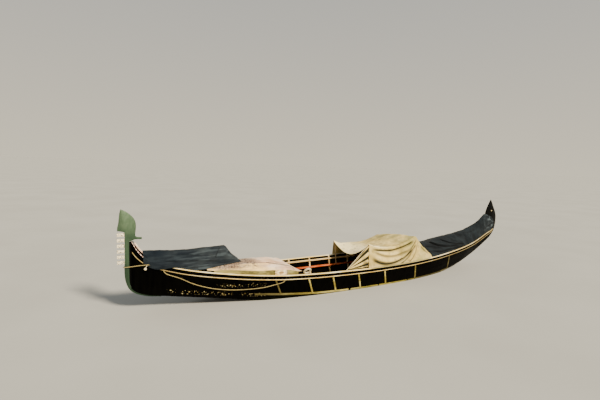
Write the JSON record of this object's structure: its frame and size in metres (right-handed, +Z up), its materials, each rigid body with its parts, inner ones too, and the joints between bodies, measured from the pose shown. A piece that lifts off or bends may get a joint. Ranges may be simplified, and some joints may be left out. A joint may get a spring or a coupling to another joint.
{
  "type": "gondola boat",
  "caption": "Venetian style gondola laid up at its mooring, with toothed bow iron, asymmetric black hull, canvas covers and a hanging side rope.",
  "frame": {"origin": "middle of the length and breadth, on the flat of the bottom", "axes": "+X towards the bow, +Y to port, +Z up; the water's surface is at z 0.12"},
  "size_m": [10.848, 1.5022, 2.01],
  "materials": {
    "lacquer": "gloss black boat enamel on planks",
    "gunwale": "varnished pale timber, worn",
    "rail": "varnished ochre timber",
    "band": "weathered olive timber",
    "iron": "dull oxidised steel",
    "stud": "polished brass",
    "inner_wood": "red brown varnished timber",
    "boards": "scrubbed timber",
    "cushion": "dark red upholstery",
    "beige_canvas": "beige canvas, sagging",
    "navy_canvas": "charcoal navy canvas",
    "pale_canvas": "pale cream canvas",
    "slate_canvas": "dark slate canvas",
    "pale_wood": "pale timber",
    "rope": "pale laid rope"
  },
  "bodies": {
    "root": {"aft_bulkhead": "boards", "afterdeck": "lacquer", "bottom_planking": "lacquer", "bow_iron": "iron", "cover_bow": "navy_canvas", "cover_flap": "beige_canvas", "cover_fore": "pale_canvas", "cover_mid": "beige_canvas", "cover_post_front_port": "pale_wood", "cover_post_front_starboard": "pale_wood", "cover_post_rear_port": "pale_wood", "cover_post_rear_starboard": "pale_wood", "cover_stern": "slate_canvas", "floorboards_aft": "boards", "floorboards_fore": "boards", "fore_bulkhead": "boards", "foredeck": "lacquer", "foredeck_moulding": "pale_wood", "frames_port": "inner_wood", "frames_starboard": "inner_wood", "gunwale_port_aft": "gunwale", "gunwale_port_fore": "gunwale", "gunwale_port_waist_aft": "gunwale", "gunwale_port_waist_fore": "gunwale", "gunwale_starboard_aft": "gunwale", "gunwale_starboard_fore": "gunwale", "gunwale_starboard_waist_aft": "gunwale", "gunwale_starboard_waist_fore": "gunwale", "loose_board": "pale_wood", "rope_coil": "rope", "rub_rail_port": "rail", "rub_rail_starboard": "rail", "seat_back": "inner_wood", "seat_base": "inner_wood", "seat_cushion": "cushion", "side_planking_port_aft": "lacquer", "side_planking_port_fore": "lacquer", "side_planking_port_waist_aft": "lacquer", "side_planking_port_waist_fore": "lacquer", "side_planking_starboard_aft": "lacquer", "side_planking_starboard_fore": "lacquer", "side_planking_starboard_waist_aft": "lacquer", "side_planking_starboard_waist_fore": "lacquer", "stem_post": "lacquer", "stem_rope": "rope", "stem_rope_knot": "rope", "stern_post": "lacquer", "stern_stud_port": "stud", "stern_stud_starboard": "stud", "swag_rope": "rope", "tie_front_port": "rope", "washboard_port": "band", "washboard_starboard": "band", "water_band_port": "band", "water_band_starboard": "band"}
  },
  "joints": []
}
